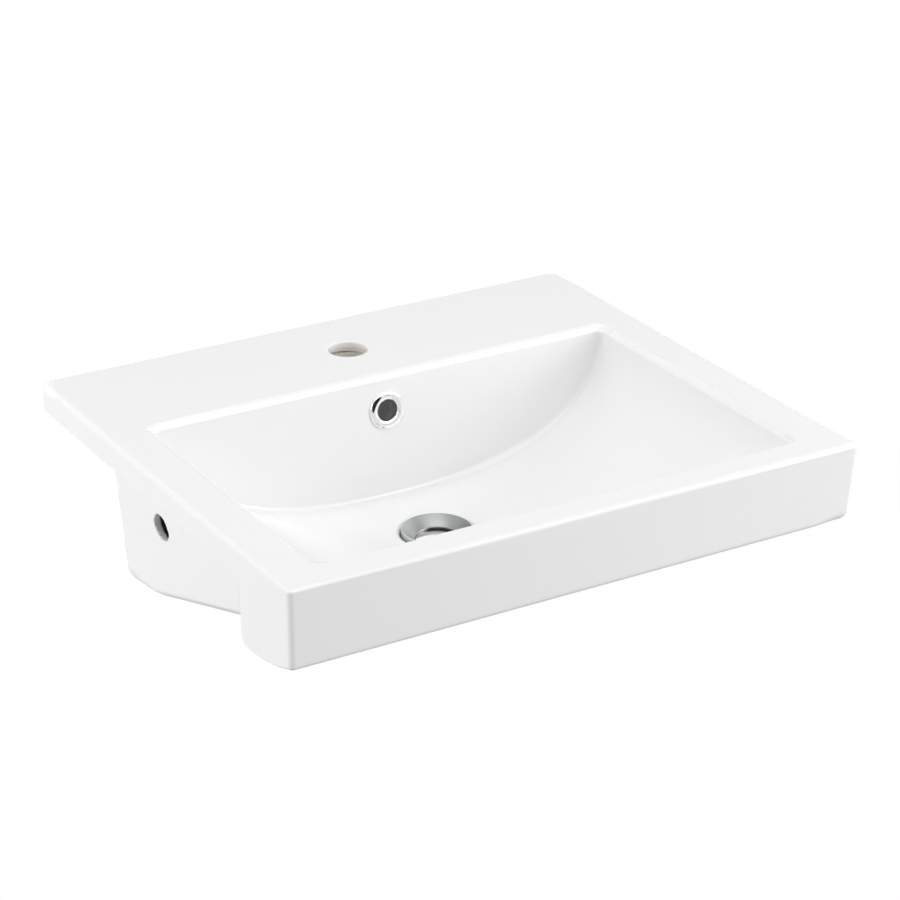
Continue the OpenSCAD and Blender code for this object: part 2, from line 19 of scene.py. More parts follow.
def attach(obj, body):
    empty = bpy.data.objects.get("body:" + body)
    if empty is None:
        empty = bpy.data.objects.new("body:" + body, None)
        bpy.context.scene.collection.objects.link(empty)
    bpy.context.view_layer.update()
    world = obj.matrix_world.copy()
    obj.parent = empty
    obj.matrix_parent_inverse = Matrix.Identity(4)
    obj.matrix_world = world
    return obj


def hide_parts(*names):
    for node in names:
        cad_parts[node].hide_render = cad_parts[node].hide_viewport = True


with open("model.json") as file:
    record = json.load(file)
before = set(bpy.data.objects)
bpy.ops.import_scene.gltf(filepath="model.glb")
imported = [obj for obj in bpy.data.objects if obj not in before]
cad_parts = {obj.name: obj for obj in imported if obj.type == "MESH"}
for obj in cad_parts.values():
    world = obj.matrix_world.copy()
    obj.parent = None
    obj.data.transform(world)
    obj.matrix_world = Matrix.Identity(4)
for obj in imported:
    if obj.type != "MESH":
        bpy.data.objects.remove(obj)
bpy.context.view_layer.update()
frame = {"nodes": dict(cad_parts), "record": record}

# Height of the deck over the row frame's origin
DECK = 13.0

# Rim: size, corners in plan, edge radii in front, at the front left corner, at the back and on the right,
# the draft of its sides and front over a height, the edge of its underside, and the fillet under it
RIM_HALF_W, RIM_D, RIM_T = 266.0, 470.0, 26.0
BACK_CORNER, FRONT_CORNER = 12.0, 5.0
EDGE_R, CORNER_EDGE_R, BACK_EDGE_R, RIGHT_EDGE_R = 5.0, 3.0, 10.5, 8.0
SIDE_DRAFT, FRONT_DRAFT, DRAFT_H, DRAFT_END = 3.0, 6.0, 84.0, 1.3
UNDER_EDGE_R, BODY_FILLET_R = 0.9, 1.2

# Stretches over which one edge radius of the rim turns into another: away from the front left corner, towards
# the right, towards the back, and along the apron's lower edge
CORNER_BLEND = (20, 200)
RIGHT_BLEND_X, RIGHT_BLEND_D = (190, 230), (RIM_D - 15, RIM_D - 75)
BACK_BLEND_D = (12, 42)
NOSE_BLEND_LEFT, NOSE_BLEND_D = (490, 520), (440, 460)

# Apron: its back face, its edges, and its underside as a cubic curve of (distance from the wall, height)
APRON_BACK = 382.0
FOOT_R, HOLLOW_R, NOSE_R, NOSE_CORNER_R = 9.0, 10.0, 5.0, 9.0
APRON_CURVE = ((391.0, -84.0), (411.0, -84.0), (439.0, -77.5), (457.0, -73.0))
CURVE_STEPS = 60

# Body: flat faces through these points, moved out by BODY_R; how softly its side and bottom faces meet
BODY_R, BODY_EDGE_R = 10.5, 5.0
BODY_MIDDLE = (0, 250.0, -60.0)
SIDE_TOP = (234.5, -26.0)
SIDE_FOOT_X, BODY_FRONT = 228.5, 410.0
BACK_TOP, BACK_FOOT, FOOT_BEND = 113.5, 120.5, 168.0
FOOT_BACK_Z, FOOT_Z, FOOT_FRONT_Z = -138.0, -134.0, -55.87
UNDER_X, UNDER_BACK, UNDER_FRONT, UNDER_Z = 115.0, 130.0, 300.0, -142.5
NOSE_X, NOSE_D, NOSE_Z = 150.0, 398.0, -89.5
SIDE_BLEND, LOW_BLEND, CORNER_FACE_BLEND, BACK_FACE_BLEND, FRONT_FACE_BLEND = 3, 2, 3, 4, 6

# Bowl: the opening, the step under it and its edges, and the lips' radii with the stretches between them
WELL_HALF_W, WELL_BACK, WELL_FRONT, STEP = 226.0, 142.0, 439.0, 4.5
WELL_BACK_R, WELL_FRONT_R = 7.0, 12.0
STEP_EDGE_R, STEP_FILLET_R = 1.0, 1.2
LIP_R, SIDE_LIP_R, BACK_LIP_R = 3.5, 5.0, 6.5
LIP_BLEND_X, LIP_BLEND_D = (205, 220), (WELL_FRONT - 10, WELL_FRONT - 40)
BACK_LIP_BLEND = (3, 13)

# Trough: its section, the lean of the back wall, how the floor falls to the line over the waste and rises
# before it, the front's curve as (start, length, height, power), and its soft corners
TROUGH_HALF_W, TROUGH_H, POWER = 224.0, 107.5, 2.5
LEAN, VALLEY_D = 0.11, 154.32
FLOOR_HALF_W, EXTRA, FRONT_RISE, BACK_FALL = 157.0, 6.55, 0.02, 0.0644
FRONT_CURVE = (320.0, 119.0, 117.0, 1.93)
CREASE_R, FLOOR_BLEND, SECTION_BLEND = 5.6, 10.0, 1.5
BEHIND_WALL, LEAST_STEEP, DEEPEST = 5.0, 1e-4, 60.0

# Tap hole, and the seam that opens inside it
TAP_D, TAP_R, TAP_EDGE_R = 75.5, 17.5, 1.5
SEAM_X, SEAM_Z, SEAM_R, SEAM_HALF, SEAM_TAPER, SEAM_HALF_MOST = -1.2, -10.2, 20.5, 1.05, 0.06, 2.0

# Waste hole with its recess, and the boss round it under the body
WASTE_D, HOLE_R, HOLE_EDGE_R = 232.0, 23.0, 1.5
RECESS_R, RECESS_Z, RECESS_EDGE_R = 32.2, -124.5, 3.5
BOSS_R, BOSS_Z, BOSS_TOP_Z, BOSS_EDGE_R, BOSS_FILLET_R = 41.0, -164.5, -100.0, 2.0, 3.0

# Overflow hole, square to the back wall, and the duct behind it
OVERFLOW_D, OVERFLOW_Z, OVERFLOW_R = 145.63, -33.0, 13.0
OVERFLOW_MIDDLE, OVERFLOW_HALF_L = -5.0, 30.0
DUCT_HALF_W, DUCT_HALF_H, DUCT_MIDDLE, DUCT_HALF_L = 22.0, 24.0, 20.0, 12.0

# Vents in the body's sides, the hollow behind them, and the edge of the vents and the overflow hole
VENT_D, VENT_Z, VENT_R, VENT_WIDE = 194.0, -67.5, 11.1, 1.2
WALL, CAVITY_X, CAVITY_COVER, VENT_X = 7.0, 160.0, 4.0, 218.0
SMALL_EDGE_R = 1.0

# Overflow trim and seal: radii and lengths, and heights over the glaze. TRIM_SPRING is where the dome starts,
# TRIM_HOLLOW where the hollow behind it ends.
TRIM_R, TRIM_HOLE_R, TRIM_H, TRIM_TUBE_R, TRIM_TUBE_L = 17.2, 9.8, 1.7, 11.7, 10.0
TRIM_SPRING, TRIM_FOOT, TRIM_WALL, TRIM_HOLLOW = 0.9, 0.1, 0.4, 1.0
SEAL_R, SEAL_H, SEAL_FOOT, SEAL_CLEARANCE = 15.5, 0.95, 0.05, 0.9

# Waste: the flange's dish and rolled edge, the throat, the cap, and how the CAD's own flange is drawn in
FLANGE_R, FLANGE_Z, FLANGE_EDGE_R, EDGE_START = 31.0, -112.0, 1.1, 0.25
DISH_FOOT_Z, DISH_POWER = -121.5, 1.2
THROAT_R, THROAT_Z, CAP_R = 19.55, -120.0, 18.8
DRAWN_FROM_R, DRAWN_SHARE, DRAWN_DOWN = 21.5, 0.66, 1.0

# The skin's grid lines as (start, end, step), close together where it bends tightly
GRID_HALF_X = (
    (0, 18, 2.4), (18, 38, 2.2), (38, 212, 6.0), (212, 224, 1.5), (224, 231, 0.8),
    (231, 250, 2.4), (250, 256, 2.4), (256, 267, 1.0),
)
GRID_D = (
    (-3, 20, 2.0), (20, 56, 4.5), (56, 96, 2.4), (96, 132, 3.6), (132, 164, 1.5), (164, 180, 3.0),
    (180, 208, 2.0), (208, 254, 2.8), (254, 270, 2.2), (270, 370, 6.4), (370, 400, 2.4),
    (400, 424, 3.4), (424, 436, 2.0), (436, 443, 0.6), (443, 462, 2.4), (462, 472, 1.2),
)
GRID_Z = (
    (-167, -141, 2.2), (-141, -128, 3.0), (-128, -112, 1.6), (-112, -88, 3.0), (-88, -66, 2.0),
    (-66, -46, 2.4), (-46, -28, 2.4), (-28, -22, 1.2), (-22, -14, 2.4), (-14, -8, 0.75),
    (-8, -4, 0.9), (-4, 1, 0.6),
)
QUICK_COARSER, KEPT_SHARE, NORMAL_STEP = 1.6, 0.52, 0.15


# Rounded solids as distance fields, negative inside, worked out for whole arrays of points at once

def round_max(a, b, r):
    """Both solids at once, their shared edge rounded with radius r."""
    return np.minimum(np.maximum(a, b), -r) + np.hypot(np.maximum(a + r, 0), np.maximum(b + r, 0))


def round_min(a, b, r):
    """Either solid, the corner between them filled with radius r."""
    return -round_max(-a, -b, r)


def soft_max(a, b, k):
    """Both solids at once, for faces that meet at a flat angle."""
    h = np.maximum(k - np.abs(a - b), 0) / k
    return np.maximum(a, b) + h * h * k / 4


def ramp(value, start, end):
    """0 up to start, 1 from end on, smooth between; end may be the smaller one."""
    t = np.clip((value - start) / (end - start), 0, 1)
    return t * t * (3 - 2 * t)


def slab(x, d, half_w, back, front, r_back, r_front):
    """Upright prism over a rectangle with its own corner radius at the back and at the front."""
    middle = (back + front) / 2
    r = np.where(d < middle, r_back, r_front)
    px = x - half_w + r
    pd = np.abs(d - middle) - (front - back) / 2 + r
    return np.minimum(np.maximum(px, pd), 0) + np.hypot(np.maximum(px, 0), np.maximum(pd, 0)) - r


def face(p, q, s, x, d, z):
    """Distance outside the plane through three points, on the side away from the body's middle."""
    p, q, s = (np.array(v, float) for v in (p, q, s))
    n = np.cross(q - p, s - p)
    n /= np.linalg.norm(n)
    if n @ (p - np.array(BODY_MIDDLE)) < 0:
        n = -n
    return n[0] * x + n[1] * d + n[2] * z - n @ p


def mirrored(p):
    """The same point on the other side of the body."""
    return (-p[0], p[1], p[2])


def body(x, d, z):
    """The closed body under the rim, from the plane faces through its corner points."""
    top_b, top_f = (SIDE_TOP[0], BACK_TOP, SIDE_TOP[1]), (SIDE_TOP[0], BODY_FRONT, SIDE_TOP[1])
    foot_b, foot_m = (SIDE_FOOT_X, BACK_FOOT, FOOT_BACK_Z), (SIDE_FOOT_X, FOOT_BEND, FOOT_Z)
    foot_f = (SIDE_FOOT_X, BODY_FRONT, FOOT_FRONT_Z)
    under_b, under_f = (UNDER_X, UNDER_BACK, UNDER_Z), (UNDER_X, UNDER_FRONT, UNDER_Z)
    nose = (NOSE_X, NOSE_D, NOSE_Z)
    side = soft_max(face(top_b, top_f, foot_b, x, d, z), face(top_f, foot_m, foot_f, x, d, z), SIDE_BLEND)
    back = face(top_b, foot_b, mirrored(top_b), x, d, z)
    front = face(top_f, foot_f, mirrored(top_f), x, d, z)
    bottom = face(under_b, under_f, mirrored(under_b), x, d, z)
    for p, q, s, blend in (
        (under_b, foot_b, foot_m, LOW_BLEND),
        (under_b, foot_b, mirrored(under_b), BACK_FACE_BLEND),
        (under_f, foot_m, foot_f, CORNER_FACE_BLEND),
        (under_f, nose, foot_f, CORNER_FACE_BLEND),
        (under_f, nose, mirrored(nose), FRONT_FACE_BLEND),
        (nose, foot_f, mirrored(nose), FRONT_FACE_BLEND),
    ):
        bottom = soft_max(bottom, face(p, q, s, x, d, z), blend)
    sides = round_max(side - BODY_R, back - BODY_R, BODY_EDGE_R)
    return round_max(round_max(sides, bottom - BODY_R, BODY_EDGE_R), front - BODY_R, BODY_EDGE_R)


def apron_foot(d):
    """Height and slope of the apron's underside at distance d from the wall."""
    t = np.linspace(0, 1, CURVE_STEPS)[:, None]
    p0, p1, p2, p3 = (np.array(p) for p in APRON_CURVE)
    curve = (1 - t) ** 3 * p0 + 3 * (1 - t) ** 2 * t * p1 + 3 * (1 - t) * t * t * p2 + t ** 3 * p3
    end_slope = (p3[1] - p2[1]) / (p3[0] - p2[0])
    z = np.interp(d, curve[:, 0], curve[:, 1]) + end_slope * np.maximum(d - p3[0], 0)
    slopes = np.gradient(curve[:, 1], curve[:, 0])
    return z, np.interp(d, curve[:, 0], slopes)


def rim(x, left, d, z):
    """Rim and apron, with the body under them; left is the distance from the rim's left edge."""
    lean = np.clip(-z / DRAFT_H, 0, DRAFT_END)
    edge = CORNER_EDGE_R + (EDGE_R - CORNER_EDGE_R) * ramp(np.hypot(left, d - RIM_D), *CORNER_BLEND)
    edge = np.where(d < RIM_D / 2, EDGE_R, edge)
    edge = edge + (RIGHT_EDGE_R - edge) * ramp(left - RIM_HALF_W, *RIGHT_BLEND_X) * ramp(d, *RIGHT_BLEND_D)
    edge = BACK_EDGE_R + (edge - BACK_EDGE_R) * ramp(d, *BACK_BLEND_D)
    plan = slab(x, d, RIM_HALF_W - SIDE_DRAFT * lean, 0, RIM_D - FRONT_DRAFT * lean,
                BACK_CORNER, FRONT_CORNER)
    foot, incline = apron_foot(d)
    apron = round_max((foot - z) / np.sqrt(1 + incline * incline), APRON_BACK - d, FOOT_R)
    under = round_min(-(z + RIM_T), apron, HOLLOW_R)
    nose = NOSE_R + (NOSE_CORNER_R - NOSE_R) * ramp(left, *NOSE_BLEND_LEFT)
    low_edge = UNDER_EDGE_R + (nose - UNDER_EDGE_R) * ramp(d, *NOSE_BLEND_D)
    shell = round_max(round_max(plan, z, edge), under, low_edge)
    return round_min(shell, np.maximum(body(x, d, z), z + RIM_T / 2), BODY_FILLET_R)


def curve_distance(value, steep):
    """Rough distance to a curve, from its value and steepness; far inside it stops at DEEPEST."""
    return np.maximum(value / np.maximum(steep, LEAST_STEEP), -DEEPEST)


def trough(x, d, z):
    """The bowl below its step: a long section, cut off by the leaning back wall and the front curve."""
    u = x / TROUGH_HALF_W
    floors = (
        EXTRA * np.maximum(0, 1 - x / FLOOR_HALF_W) - FRONT_RISE * (d - VALLEY_D),
        BACK_FALL * (d - VALLEY_D),
    )
    section = None
    for lowered in floors:
        q = np.maximum(-z - STEP - lowered, 0) / TROUGH_H
        steep = np.hypot(POWER * u ** (POWER - 1) / TROUGH_HALF_W, 2 * q / TROUGH_H)
        distance = curve_distance(u ** POWER + q * q - 1, steep)
        section = distance if section is None else soft_max(section, distance, SECTION_BLEND)
    centre, length, height, power = FRONT_CURVE
    a = np.maximum(d - centre, 0) / length
    b = np.maximum(-z - STEP, 0) / height
    steep = power * np.hypot(a ** (power - 1) / length, b ** (power - 1) / height)
    front = curve_distance(a ** power + b ** power - 1, steep)
    back = (WELL_BACK - LEAN * z - d) / math.hypot(1, LEAN)
    ends = slab(x, d, WELL_HALF_W, WELL_BACK - BEHIND_WALL, WELL_FRONT, WELL_BACK_R, WELL_FRONT_R)
    return np.maximum(round_max(soft_max(section, front, FLOOR_BLEND), back, CREASE_R), ends)


def bowl(x, d, z):
    """The trough, and the straight-sided step over it that frames the opening."""
    well = slab(x, d, WELL_HALF_W, WELL_BACK, WELL_FRONT, WELL_BACK_R, WELL_FRONT_R)
    return round_min(trough(x, d, z), round_max(well, -(z + STEP), STEP_EDGE_R), STEP_FILLET_R)


def lip_radius(x, d):
    """Radius of the opening's edge: tight in front, softer at the sides and softest at the back."""
    lip = LIP_R + (SIDE_LIP_R - LIP_R) * ramp(d, *LIP_BLEND_D) * ramp(x, *LIP_BLEND_X)
    return BACK_LIP_R + (lip - BACK_LIP_R) * ramp(d - WELL_BACK, *BACK_LIP_BLEND)


def tap_seam(x, d, z):
    """A thin flat gap inside the tap hole, wider towards the left."""
    half = np.clip(SEAM_HALF - SEAM_TAPER * x, 0, SEAM_HALF_MOST)
    return np.maximum(np.hypot(x - SEAM_X, d - TAP_D) - SEAM_R, np.abs(z - SEAM_Z) - half)


def overflow_way(x, d, z):
    """The overflow's hole through the back wall, and the duct that it opens into."""
    depth = (OVERFLOW_D - d - LEAN * (z - OVERFLOW_Z)) / math.hypot(1, LEAN)
    across = (z - OVERFLOW_Z - LEAN * (d - OVERFLOW_D)) / math.hypot(1, LEAN)
    hole = np.maximum(np.hypot(x, across) - OVERFLOW_R, np.abs(depth - OVERFLOW_MIDDLE) - OVERFLOW_HALF_L)
    duct = np.maximum(x - DUCT_HALF_W, np.abs(depth - DUCT_MIDDLE) - DUCT_HALF_L)
    return np.minimum(hole, np.maximum(duct, np.abs(across) - DUCT_HALF_H))


def ceramic(x, d, z):
    """The whole casting. Its hollow is drawn only near the vents, where it can be seen."""
    left, seam = x + RIM_HALF_W, tap_seam(x, d, z)
    x = np.abs(x)
    hollow = bowl(x, d, z)
    waste = np.hypot(x, d - WASTE_D)
    boss = round_max(waste - BOSS_R, BOSS_Z - z, BOSS_EDGE_R)
    outer = round_min(rim(x, left, d, z), np.maximum(boss, z - BOSS_TOP_Z), BOSS_FILLET_R)
    solid = round_max(outer, -hollow, lip_radius(x, d))
    solid = round_max(solid, -np.maximum(waste - RECESS_R, RECESS_Z - z), RECESS_EDGE_R)
    solid = round_max(solid, HOLE_R - waste, HOLE_EDGE_R)
    solid = round_max(solid, TAP_R - np.hypot(x, d - TAP_D), TAP_EDGE_R)
    solid = np.maximum(solid, -seam)
    solid = round_max(solid, -overflow_way(x, d, z), SMALL_EDGE_R)
    vent = np.maximum(np.hypot((d - VENT_D) / VENT_WIDE, z - VENT_Z) - VENT_R, VENT_X - x)
    solid = round_max(solid, -vent, SMALL_EDGE_R)
    cavity = np.maximum(np.maximum(body(x, d, z) + WALL, WALL - hollow), CAVITY_X - x)
    return np.maximum(solid, -np.maximum(cavity, z + RIM_T + CAVITY_COVER))


# Mesh of a distance field

def lines(stretches, coarser):
    """Grid lines from (start, end, step) stretches, with each step made coarser by a factor."""
    out = []
    for start, end, step in stretches:
        count = max(1, round((end - start) / (step * coarser)))
        out.extend(np.linspace(start, end, count, endpoint=False))
    out.append(stretches[-1][1])
    return np.array(out)


def surface_net(field, xs, ds, zs):
    """Vertices and quads of the field's zero surface: one vertex in each cell that the surface passes."""
    axes = (xs, ds, zs)
    value = field(*np.meshgrid(xs, ds, zs, indexing="ij"))
    inside = value < 0
    cells = tuple(n - 1 for n in value.shape)
    total, count = np.zeros((*cells, 3)), np.zeros(cells)
    quads = []
    for axis in range(3):
        u, w = (axis + 1) % 3, (axis + 2) % 3
        low = [slice(None)] * 3
        high = [slice(None)] * 3
        low[axis], high[axis] = slice(None, -1), slice(1, None)
        low, high = tuple(low), tuple(high)
        at = np.argwhere(inside[low] != inside[high])
        a, b = value[low][tuple(at.T)], value[high][tuple(at.T)]
        t = a / (a - b)
        point = np.stack([axes[k][at[:, k]] for k in range(3)], axis=1)
        point[:, axis] += t * (axes[axis][at[:, axis] + 1] - axes[axis][at[:, axis]])
        ring = []
        for du, dw in ((1, 1), (0, 1), (0, 0), (1, 0)):
            cell = at.copy()
            cell[:, u] -= du
            cell[:, w] -= dw
            np.add.at(total, tuple(cell.T), point)
            np.add.at(count, tuple(cell.T), 1)
            ring.append(np.ravel_multi_index(tuple(cell.T), cells))
        ring = np.stack(ring, axis=1)
        quads.append(np.where((a < 0)[:, None], ring, ring[:, ::-1]))
    used = np.flatnonzero(count.ravel())
    index = np.full(count.size, -1)
    index[used] = np.arange(len(used))
    points = total.reshape(-1, 3)[used] / count.ravel()[used][:, None]
    return points, index[np.concatenate(quads)]


def slope(field, p, h=0.02):
    """The field's gradient at points p."""
    out = np.empty_like(p)
    for k in range(3):
        step = np.zeros(3)
        step[k] = h
        out[:, k] = (field(*(p + step).T) - field(*(p - step).T)) / (2 * h)
    return out


def settle(points, times, reach=2.0, least_square=0.05):
    """Points moved onto the ceramic's surface along its gradient; values past reach count as reach."""
    for _ in range(times):
        g = slope(ceramic, points)
        square = np.maximum((g * g).sum(1), least_square)
        points = points - g * (np.clip(ceramic(*points.T), -reach, reach) / square)[:, None]
    return points


def place(p):
    """Points of this file to the row frame, in metres."""
    return np.stack([p[:, 0], -p[:, 1], p[:, 2] + DECK], axis=1) / 1000


def added(name, data):
    """A new object in the scene, for a mesh, a camera or a lamp."""
    piece = bpy.data.objects.new(name, data)
    bpy.context.scene.collection.objects.link(piece)
    return piece


def thinned(piece, share):
    """The piece's mesh with fewer triangles, most of them taken from its flat faces."""
    decimate = piece.modifiers.new("decimate", "DECIMATE")
    decimate.ratio = share
    mesh = bpy.data.meshes.new_from_object(piece.evaluated_get(bpy.context.evaluated_depsgraph_get()))
    piece.modifiers.remove(decimate)
    return mesh


def ceramic_skin():
    """The casting's surface as a mesh, with the field's own normals."""
    coarser = 1.0
    half = lines(GRID_HALF_X, coarser)
    xs = np.concatenate([-half[:0:-1], half])
    points, quads = surface_net(ceramic, xs, lines(GRID_D, coarser), lines(GRID_Z, coarser))
    points = settle(points, times=4)
    mesh = bpy.data.meshes.new("ceramic")
    mesh.from_pydata(place(points), [], quads[:, ::-1].tolist())
    mesh.validate()
    piece = added("ceramic_casting", mesh)
    piece.data = mesh = thinned(piece, KEPT_SHARE)
    points = np.empty(len(mesh.vertices) * 3)
    mesh.vertices.foreach_get("co", points)
    points = points.reshape(-1, 3) * (1000, -1000, 1000) - (0, 0, DECK)
    points = settle(points, times=1)
    mesh.vertices.foreach_set("co", place(points).ravel())
    normal = slope(ceramic, points, NORMAL_STEP) * (1, -1, 1)
    normal /= np.maximum(np.linalg.norm(normal, axis=1), 1e-9)[:, None]
    mesh.shade_smooth()
    mesh.normals_split_custom_set_from_vertices(normal.tolist())
    return piece


# Metal pieces and the seal. The profiles of the turned ones are (radius, height) points.

def turned(name, profile, centre, axis, around=128, sharp_from=40):
    """A ring turned from a closed profile about an axis of the row frame, in millimetres and degrees."""
    profile = np.array(profile, float)
    axis = Vector(axis).normalized()
    side = axis.orthogonal().normalized()
    across = np.array(axis.cross(side))
    angle = np.linspace(0, 2 * math.pi, around, endpoint=False)[:, None]
    spoke = np.cos(angle) * np.array(side) + np.sin(angle) * across
    points = np.array(centre) + profile[:, :1, None] * spoke + profile[:, 1:, None] * np.array(axis)
    index = np.arange(len(profile) * around).reshape(len(profile), around)
    ahead, above = np.roll(index, -1, axis=1), np.roll(index, -1, axis=0)
    quads = np.stack([index, ahead, np.roll(ahead, -1, axis=0), above], axis=-1)
    mesh = bpy.data.meshes.new(name)
    mesh.from_pydata(points.reshape(-1, 3) / 1000, [], quads.reshape(-1, 4).tolist())
    shell = bmesh.new()
    shell.from_mesh(mesh)
    bmesh.ops.recalc_face_normals(shell, faces=shell.faces)
    shell.to_mesh(mesh)
    shell.free()
    mesh.shade_smooth()
    mesh.set_sharp_from_angle(angle=math.radians(sharp_from))
    return added(name, mesh)


def arch(start, end, height, steps=24):
    """Half an ellipse over the stretch from one (radius, height) point to the next."""
    middle = ((start[0] + end[0]) / 2, (start[1] + end[1]) / 2)
    reach = (end[0] - start[0]) / 2
    return [(middle[0] - reach * math.cos(t), middle[1] + height * math.sin(t))
            for t in np.linspace(0, math.pi, steps)]


def overflow_trim():
    """Domed ring that lies on the bowl's back wall, with the tube behind it."""
    centre = (0, -OVERFLOW_D, OVERFLOW_Z + DECK)
    inner = TRIM_R - TRIM_WALL
    profile = [(TRIM_HOLE_R, -TRIM_TUBE_L)]
    profile += arch((TRIM_HOLE_R, TRIM_SPRING), (TRIM_R, TRIM_SPRING), TRIM_H)
    profile += [(TRIM_R, TRIM_FOOT), (inner, TRIM_FOOT), (inner, TRIM_HOLLOW)]
    profile += [(TRIM_TUBE_R, TRIM_HOLLOW), (TRIM_TUBE_R, -TRIM_TUBE_L)]
    return turned("overflow_trim", profile, centre, (0, -1, LEAN))


def overflow_gasket():
    """Flat seal under the trim, round its tube."""
    centre = (0, -OVERFLOW_D, OVERFLOW_Z + DECK)
    inner = TRIM_TUBE_R + SEAL_CLEARANCE
    profile = [(inner, SEAL_FOOT), (SEAL_R, SEAL_FOOT), (SEAL_R, SEAL_H), (inner, SEAL_H)]
    return turned("overflow_gasket", profile, centre, (0, -1, LEAN))


def waste_dish(dish_steps=22, edge_steps=8):
    """The waste's flange: a deep dish with a rounded edge that stands over the glaze."""
    edge_r, edge_z = FLANGE_R - FLANGE_EDGE_R, FLANGE_Z - FLANGE_EDGE_R
    dish = [(THROAT_R + (edge_r - THROAT_R) * t, THROAT_Z + (FLANGE_Z - THROAT_Z) * t ** DISH_POWER)
            for t in np.linspace(0, 1, dish_steps)]
    turn = [(edge_r + FLANGE_EDGE_R * math.sin(a), edge_z + FLANGE_EDGE_R * math.cos(a))
            for a in np.linspace(EDGE_START, math.pi / 2, edge_steps)]
    profile = dish + turn + [(FLANGE_R, DISH_FOOT_Z), (THROAT_R, DISH_FOOT_Z)]
    return turned("waste_dish", profile, (0, -WASTE_D, DECK), (0, 0, 1))


def waste_tube(over_foot=0.2, inside_throat=0.6):
    """The CAD's waste body with its flange drawn in under the dish."""
    mesh = frame["nodes"]["waste_body"].data.copy()
    mesh.name = "waste_tube"
    for v in mesh.vertices:
        x, y, z = v.co.x * 1000, v.co.y * 1000 + WASTE_D, v.co.z * 1000 - DECK
        r = math.hypot(x, y)
        if z > DISH_FOOT_Z + over_foot and r > THROAT_R - inside_throat:
            z -= DRAWN_DOWN
        if r > DRAWN_FROM_R:
            x, y = (q / r * (DRAWN_FROM_R + (r - DRAWN_FROM_R) * DRAWN_SHARE) for q in (x, y))
        v.co = (x / 1000, (y - WASTE_D) / 1000, (z + DECK) / 1000)
    return added("waste_tube", mesh)


# Shader maths

class Field:
    """A number, vector or colour inside a shader tree. Operators add the node that works them out."""

    def __init__(self, tree, socket):
        self.tree, self.socket = tree, socket

    @classmethod
    def node(cls, tree, kind, inputs=(), out=0, **settings):
        """One output of a new node. inputs gives sockets, by name or number, their values or Fields."""
        made = tree.nodes.new(kind)
        for name, value in settings.items():
            setattr(made, name, value)
        for name, value in dict(inputs).items():
            cls.put(tree, made.inputs[name], value)
        return cls(tree, made.outputs[out])

    @staticmethod
    def put(tree, socket, value):
        """Links a Field to a socket, or sets the socket to a plain value."""
        if isinstance(value, Field):
            tree.links.new(value.socket, socket)
        else:
            socket.default_value = value

    def math(self, operation, *values):
        return self.node(self.tree, "ShaderNodeMath", enumerate(values), operation=operation)

    def __add__(self, other):
        return self.math("ADD", self, other)

    def __sub__(self, other):
        return self.math("SUBTRACT", self, other)

    def __mul__(self, other):
        return self.math("MULTIPLY", self, other)

    __radd__, __rmul__ = __add__, __mul__

    def __rsub__(self, other):
        return self.math("SUBTRACT", other, self)

    def abs(self):
        return self.math("ABSOLUTE", self)

    def max(self, other):
        return self.math("MAXIMUM", self, other)

    def hypot(self, other):
        return self.math("SQRT", self * self + other * other)

    def step(self, none, full):
        """0 up to none, 1 from full on, smooth between; full may be the smaller one."""
        inputs = enumerate((self, none, full, 0.0, 1.0))
        return self.node(self.tree, "ShaderNodeMapRange", inputs, interpolation_type="SMOOTHSTEP")

    def band(self, start, first, last, end):
        """1 from first to last, 0 before start and after end, smooth between."""
        return self.step(start, first) * self.step(end, last)

    def parts(self):
        """X, Y and Z of a vector."""
        x = self.node(self.tree, "ShaderNodeSeparateXYZ", {0: self})
        return [Field(self.tree, socket) for socket in x.socket.node.outputs]

    def mix(self, a, b):
        """a where this is 0, b where it is 1; a and b are colours."""
        return self.node(self.tree, "ShaderNodeMix", {0: self, 6: a, 7: b}, out=2, data_type="RGBA")


def rgb(r, g, b):
    """An opaque colour."""
    return (r, g, b, 1.0)


WHITE = rgb(1.0, 1.0, 1.0)


def material(name, build, **constants):
    """A Principled material. build(where, put) adds what varies over the surface."""
    made = bpy.data.materials.new(name)
    made.use_nodes = True
    tree = made.node_tree
    shader = tree.nodes["Principled BSDF"]
    for socket, value in constants.items():
        shader.inputs[socket.replace("_", " ")].default_value = value

    def put(socket, value):
        Field.put(tree, shader.inputs[socket], value)

    build(Field.node(tree, "ShaderNodeTexCoord", out="Object"), put)
    return made


def noise(where, scale, detail=2.0, roughness=0.5):
    """Noise from 0 to 1, with about as many blotches to the metre as its scale says."""
    inputs = {"Vector": where, "Scale": scale, "Detail": detail, "Roughness": roughness}
    return Field.node(where.tree, "ShaderNodeTexNoise", inputs)


# Where the glaze changes, in millimetres: two numbers lead from no effect to the full one, and four are the
# start, first, last and end of a band. TURN numbers are for the Z of the surface's normal, and OUTWARD ones
# for its X times the distance from the middle. The JOINT numbers place painted shade, a soft dark line where
# the body meets the rim, and LIP ones the opening's edge, where the glaze is rougher.
WANDER, TAP_WANDER, UNDER_WANDER = 8, 0.4, 0.3
TAP_BARE_Z, TAP_BARE_R = (-3.0, -6.5), (TAP_R + 6, TAP_R + 3)
UNDER_BARE_Z, UNDER_TURN = (-18, -22), (-0.35, -0.65)
LOW_BARE_Z, LOW_BARE_R = (-136, -146), (52, 60)
VENT_BARE_R, VENT_BARE_X = (VENT_R + 0.4, VENT_R - 0.6), (214, 216, 238, 240)
CAVITY_OUTWARD, CAVITY_TURN = (40, 60), (-0.6, -0.3)
CAVITY_BARE_X, CAVITY_BARE_Z, CAVITY_BARE_D = (219, 217), (-34, -36), (44, 40)
JOINT_SHADE_DROP, JOINT_SHADE_HALF = 27.6, (3.0, 0.8)
JOINT_SHADE_X, JOINT_SHADE_D = (240, 242, 248, 250), (108, 116, 380, 392)
